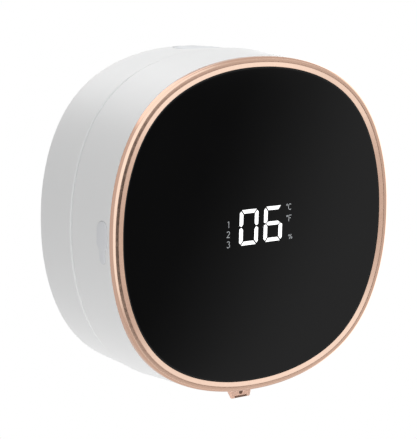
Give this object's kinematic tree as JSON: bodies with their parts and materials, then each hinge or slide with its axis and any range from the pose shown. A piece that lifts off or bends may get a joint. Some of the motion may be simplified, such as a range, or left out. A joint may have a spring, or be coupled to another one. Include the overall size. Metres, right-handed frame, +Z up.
{
  "type": "automatic soap dispenser",
  "caption": "Wall-mounted automatic soap dispenser with rounded-square black display front, rose-gold ring and nozzle, lift-off tank and charging port.",
  "frame": {"origin": "centre of the adhesive pad's back face, on the wall", "axes": "+Y into the wall, +Z up, +X to the right as a user facing the display sees it"},
  "size_m": [0.122, 0.0561, 0.1259],
  "materials": {
    "black_lens": "gloss",
    "rose_gold": "satin plated rose gold",
    "white_shell": "satin white",
    "grey_plastic": "matte",
    "board_green": "solder mask",
    "dark_part": "matte",
    "steel": "satin",
    "silicone": "matte silicone",
    "clear_hose": "milky silicone",
    "battery_wrap": "foil pouch",
    "foam": "foam",
    "red_wire": "insulation",
    "black_wire": "insulation",
    "white_nylon": "moulded nylon"
  },
  "bodies": {
    "wall_bracket": {"wall_plate": "grey_plastic", "adhesive_pad": "foam"},
    "tank": {"tank_shell": "white_shell", "tank_back": "white_shell", "hook_pocket_left": "white_shell", "hook_pocket_right": "white_shell", "tank_front_plate": "white_shell", "outlet_sleeve": "silicone", "dip_tube": "clear_hose"},
    "front_unit": {"front_housing": "white_shell", "front_lens": "black_lens", "trim_ring": "rose_gold", "back_cover": "grey_plastic", "cover_gasket": "silicone", "cover_screw_1": "steel", "cover_screw_2": "steel", "cover_screw_3": "steel", "cover_screw_4": "steel", "main_board": "board_green", "board_screw_1": "steel", "board_screw_2": "steel", "display_module": "dark_part", "touch_spring": "steel", "usb_shell": "steel", "usb_insert": "dark_part", "nozzle": "rose_gold", "sensor_eye": "dark_part", "sensor_strip": "dark_part", "pump_body": "white_nylon", "pump_cover": "white_nylon", "pump_screw_1": "steel", "pump_screw_2": "steel", "idler_pin": "steel", "motor_can": "steel", "motor_end_cap": "white_nylon", "motor_lead_red": "red_wire", "motor_lead_black": "black_wire", "inlet_hose": "clear_hose", "outlet_hose": "clear_hose", "inlet_probe": "white_nylon", "battery_cell": "battery_wrap", "battery_pad": "foam", "battery_lead_red": "red_wire", "battery_lead_black": "black_wire"},
    "fill_cap": {"fill_plug": "silicone"},
    "port_flap": {"port_cover": "silicone"},
    "pump_drive": {"motor_shaft": "steel", "drive_gear": "white_nylon"},
    "pump_idler": {"idler_gear": "white_nylon"}
  },
  "joints": [
    {"name": "tank_lift", "type": "slide", "parent": "wall_bracket", "child": "tank", "axis": [0, 0, 1], "range_m": [0, 0.008]},
    {"name": "front_release", "type": "slide", "parent": "tank", "child": "front_unit", "axis": [0, -1, 0], "range_m": [0, 0.025]},
    {"name": "fill_plug_pull", "type": "slide", "parent": "tank", "child": "fill_cap", "axis": [0, 0, 1], "range_m": [0, 0.012]},
    {"name": "port_cover_swing", "type": "hinge", "parent": "front_unit", "child": "port_flap", "pos_m": [-0.05987, -0.0491, 0.0057], "axis": [0, 1, 0], "range_deg": [0, 100]},
    {"name": "pump_drive_spin", "type": "hinge", "parent": "front_unit", "child": "pump_drive", "pos_m": [0, -0.0439, -0.034], "axis": [1, 0, 0], "continuous": true},
    {"name": "pump_idler_spin", "type": "hinge", "parent": "front_unit", "child": "pump_idler", "pos_m": [0, -0.0383, -0.034], "axis": [1, 0, 0], "continuous": true}
  ],
  "couplings": [
    {"joint": "pump_idler_spin", "follows": "pump_drive_spin", "ratio": -1}
  ]
}
